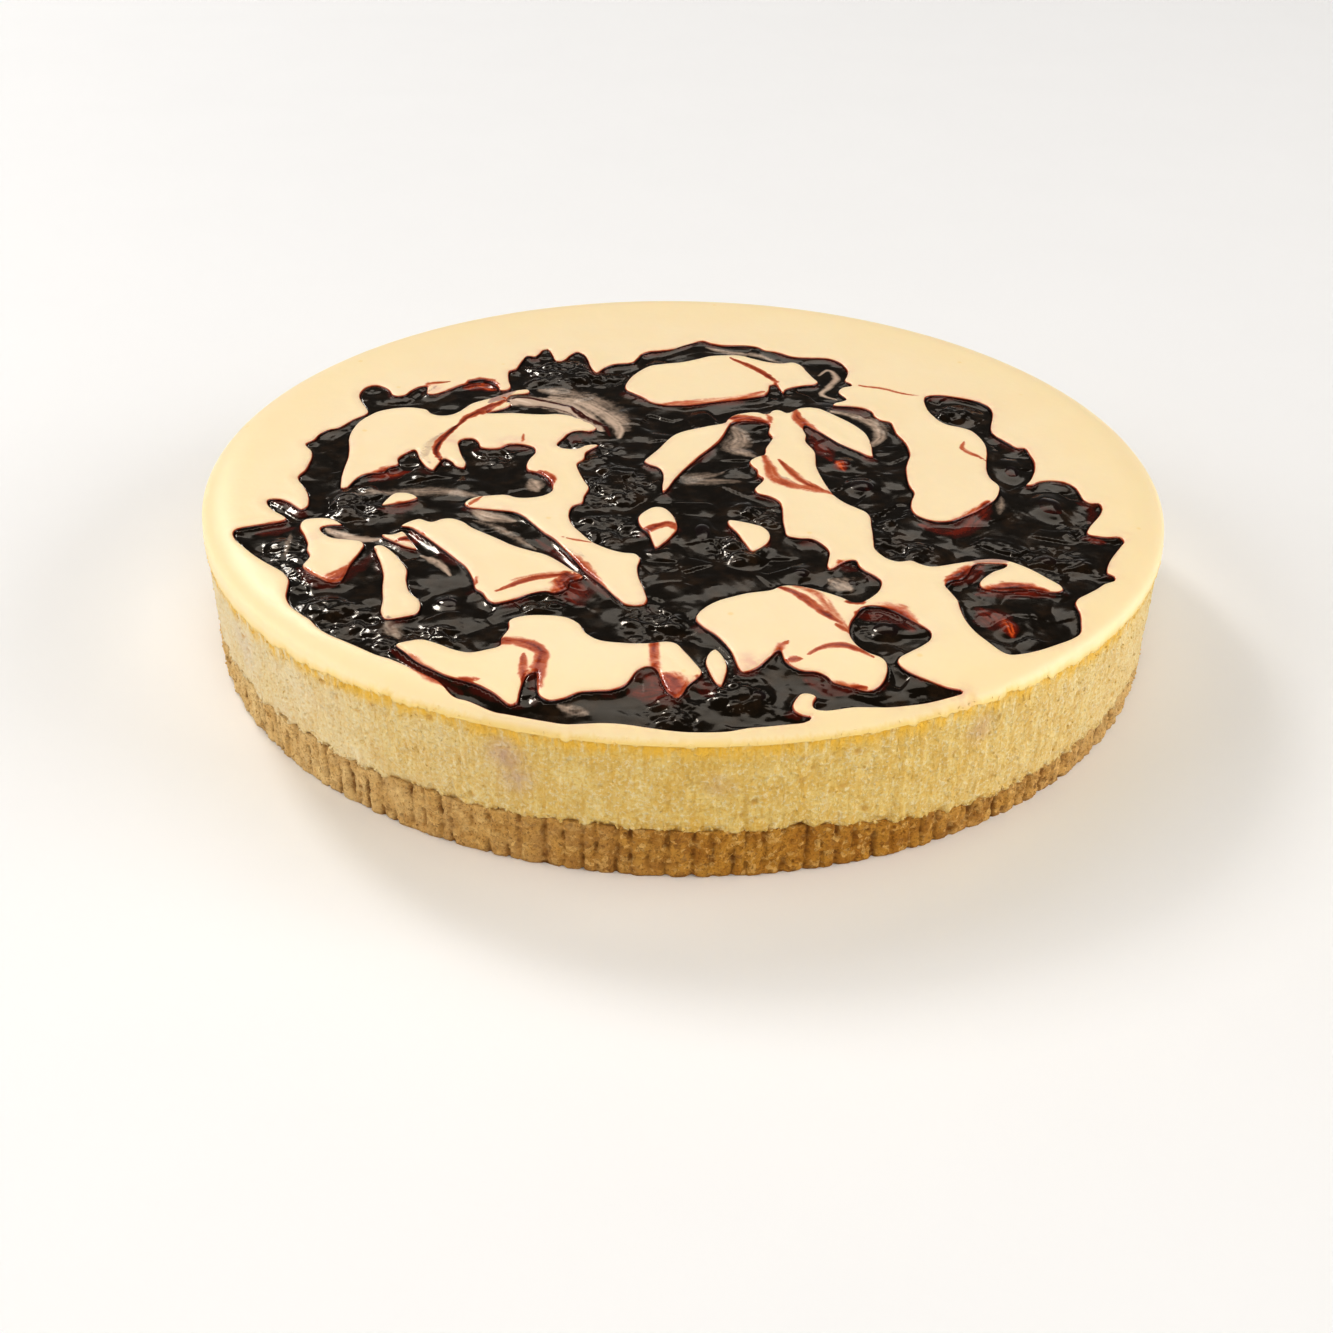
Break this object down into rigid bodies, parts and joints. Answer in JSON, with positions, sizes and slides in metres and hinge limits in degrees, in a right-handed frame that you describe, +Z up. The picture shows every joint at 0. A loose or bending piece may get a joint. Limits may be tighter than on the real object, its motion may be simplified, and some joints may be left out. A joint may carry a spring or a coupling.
{
  "type": "baked cheesecake",
  "caption": "Round baked cheesecake on a pressed biscuit base, its smooth cream top marbled with glossy dark berry compote and whole fruits; rests flat on a plate or stand.",
  "frame": {"origin": "centre of the underside, on the surface that the cake stands on", "axes": "+Z up through the middle of the cake, +Y towards the side where the broad plain cream rim is, -Y towards the side where the compote reaches the rim"},
  "size_m": [0.24, 0.24, 0.0388],
  "materials": {
    "biscuit_crumb": "rough pressed crumb",
    "baked_cream": "satin, smooth on top and open crumb at the side",
    "berry_glaze": "wet gloss",
    "fruit_skin": "wet gloss"
  },
  "bodies": {
    "root": {"biscuit_base": "biscuit_crumb", "cheesecake_filling": "baked_cream", "compote": "berry_glaze", "fruit_01": "fruit_skin", "fruit_02": "fruit_skin", "fruit_03": "fruit_skin", "fruit_04": "fruit_skin", "fruit_05": "fruit_skin", "fruit_06": "fruit_skin", "fruit_07": "fruit_skin", "fruit_08": "fruit_skin", "fruit_09": "fruit_skin", "fruit_10": "fruit_skin", "fruit_11": "fruit_skin", "fruit_12": "fruit_skin", "fruit_13": "fruit_skin", "fruit_14": "fruit_skin", "fruit_15": "fruit_skin", "fruit_16": "fruit_skin", "fruit_17": "fruit_skin"}
  },
  "joints": []
}
